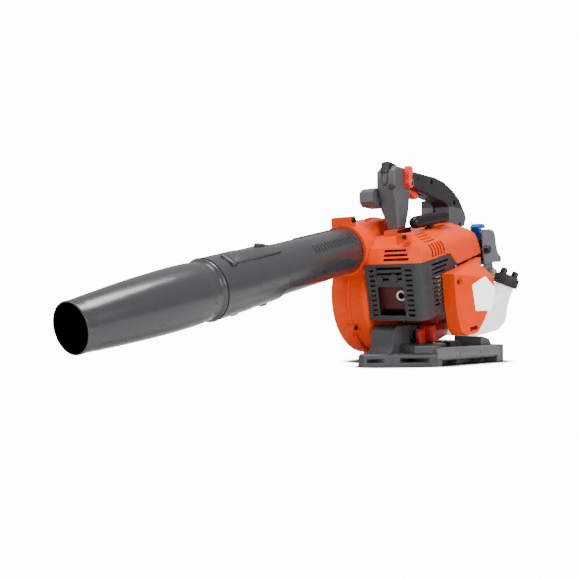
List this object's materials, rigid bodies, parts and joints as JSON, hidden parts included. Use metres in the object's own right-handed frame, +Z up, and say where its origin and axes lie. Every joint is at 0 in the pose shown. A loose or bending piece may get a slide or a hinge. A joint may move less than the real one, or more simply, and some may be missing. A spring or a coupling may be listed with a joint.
{
  "type": "leaf blower",
  "caption": "Hand-held petrol leaf blower: fan housing with telescopic air tube and nozzle, engine with pull start, fuel tank, top handle and floor base.",
  "frame": {"origin": "on the floor, straight under the crankshaft, in the middle plane of the cylinder", "axes": "+X to the rear along the tool (the nozzle points to -X), +Y to the fan and air inlet side (the engine and starter are at -Y), +Z up"},
  "size_m": [0.9215, 0.2539, 0.3505],
  "materials": {
    "orange": "bright gloss orange moulding",
    "tube_grey": "dark grey, semi-gloss",
    "guard_grey": "dark grey, matt",
    "base_grey": "mid grey, fine texture",
    "handle_black": "near black, fine texture",
    "filter_grey": "mid grey, fine texture",
    "lever_red": "red-orange, satin",
    "choke_blue": "blue, satin",
    "badge_white": "plain white, satin",
    "tank_white": "translucent white, satin",
    "bulb_clear": "clear soft plastic",
    "cap_dark": "warm dark grey, ribbed",
    "cast_alloy": "die-cast, fine grain",
    "machined_steel": "machined",
    "black_screw": "blackened steel",
    "muffler_red": "deep red heat-proof coat, dull",
    "soft_rubber": "matt",
    "gasket_fibre": "pressed fibre",
    "rope_cord": "braided cord",
    "filter_foam": "open foam",
    "plug_ceramic": "glazed ceramic and steel"
  },
  "bodies": {
    "housing": {"air_filter": "filter_foam", "badge_plate": "badge_white", "base_bar": "filter_grey", "base_frame": "base_grey", "body_screws": "black_screw", "carburettor": "filter_grey", "crank_bearings": "machined_steel", "crankcase_fan_side": "cast_alloy", "crankcase_starter_side": "cast_alloy", "cylinder": "cast_alloy", "engine_bracket": "muffler_red", "engine_cover": "orange", "exhaust_gasket": "gasket_fibre", "fan_housing_engine_side": "orange", "fan_housing_inlet_side": "orange", "filter_base": "filter_grey", "filter_cover": "filter_grey", "fuel_line": "soft_rubber", "fuel_tank": "tank_white", "handle_engine_side": "handle_black", "handle_fan_side": "handle_black", "housing_screws": "black_screw", "housing_seal": "gasket_fibre", "ignition_coil": "black_screw", "inlet_grille": "guard_grey", "intake_insulator": "filter_grey", "lever_pins": "machined_steel", "muffler": "muffler_red", "muffler_bolts": "black_screw", "muffler_guard": "guard_grey", "plug_boot": "soft_rubber", "rear_tube": "tube_grey", "recoil_spring": "machined_steel", "rope_guide": "handle_black", "rubber_mounts": "soft_rubber", "spark_plug": "plug_ceramic", "starter_cover": "orange", "starter_rope": "rope_cord", "throttle_cable": "handle_black"},
    "crank": {"crankshaft": "machined_steel", "flywheel": "cast_alloy", "impeller": "tube_grey", "shaft_nuts": "machined_steel"},
    "piston_set": {"piston": "cast_alloy", "piston_rings": "machined_steel", "rod_pins": "machined_steel", "connecting_rod": "machined_steel"},
    "trigger": {"throttle_trigger": "lever_red"},
    "throttle": {"throttle_shaft": "machined_steel"},
    "cruise": {"cruise_lever": "lever_red"},
    "stop": {"stop_button": "handle_black"},
    "choke": {"choke_lever": "choke_blue"},
    "purge": {"purge_bulb": "bulb_clear"},
    "cap": {"fuel_cap": "cap_dark", "cap_seal": "soft_rubber"},
    "knob": {"filter_knob": "handle_black"},
    "pull": {"starter_handle": "handle_black"},
    "pulley": {"starter_pulley": "tube_grey"},
    "sleeve": {"tube_sleeve": "tube_grey"},
    "mouth": {"nozzle": "tube_grey"}
  },
  "joints": [
    {"name": "crank_spin", "type": "hinge", "parent": "housing", "child": "crank", "pos_m": [0, 0, 0.126], "axis": [0, 1, 0], "continuous": true},
    {"name": "piston_slide", "type": "slide", "parent": "housing", "child": "piston_set", "axis": [-0.2011, 0, 0.9796], "range_m": [0, 0.027]},
    {"name": "trigger_squeeze", "type": "hinge", "parent": "housing", "child": "trigger", "pos_m": [-0.002, 0.038, 0.33], "axis": [0, -1, 0], "range_deg": [0, 15], "stiffness_Nm_per_rad": 0.3},
    {"name": "throttle_turn", "type": "hinge", "parent": "housing", "child": "throttle", "pos_m": [0.0546, 0, 0.18825], "axis": [0, -1, 0], "range_deg": [0, 75]},
    {"name": "cruise_swing", "type": "hinge", "parent": "housing", "child": "cruise", "pos_m": [-0.045, 0.015, 0.316], "axis": [0, 1, 0], "range_deg": [-25, 10]},
    {"name": "stop_press", "type": "slide", "parent": "housing", "child": "stop", "axis": [0, 0, -1], "range_m": [0, 0.0025], "stiffness_N_per_m": 600},
    {"name": "choke_swing", "type": "hinge", "parent": "housing", "child": "choke", "pos_m": [0.14234, 0, 0.23076], "axis": [0, -1, 0], "range_deg": [0, 20]},
    {"name": "purge_press", "type": "slide", "parent": "housing", "child": "purge", "axis": [0, 1, 0], "range_m": [0, 0.0045], "stiffness_N_per_m": 400},
    {"name": "cap_turn", "type": "hinge", "parent": "housing", "child": "cap", "pos_m": [0.1756, -0.07694, 0.15305], "axis": [0.1173, -0.3611, 0.9251], "range_deg": [0, 270]},
    {"name": "knob_turn", "type": "hinge", "parent": "housing", "child": "knob", "pos_m": [0.13648, -0.05, 0.2071], "axis": [0, 1, 0], "range_deg": [0, 90]},
    {"name": "handle_pull", "type": "slide", "parent": "housing", "child": "pull", "axis": [-0.1741, -0.5, 0.8483], "range_m": [0, 0.6]},
    {"name": "pulley_turn", "type": "hinge", "parent": "housing", "child": "pulley", "pos_m": [0, -0.056, 0.126], "axis": [0, 1, 0], "range_deg": [0, 1786.8]},
    {"name": "sleeve_slide", "type": "slide", "parent": "housing", "child": "sleeve", "axis": [0.9796, 0, 0.2011], "range_m": [0, 0.071]},
    {"name": "nozzle_twist", "type": "hinge", "parent": "sleeve", "child": "mouth", "pos_m": [-0.36875, 0.1, 0.14698], "axis": [0.9796, 0, 0.2011], "range_deg": [0, 25]}
  ],
  "couplings": [
    {"joint": "throttle_turn", "follows": "trigger_squeeze", "ratio": 5},
    {"joint": "pulley_turn", "follows": "handle_pull", "rad_per_m": 51.948}
  ]
}
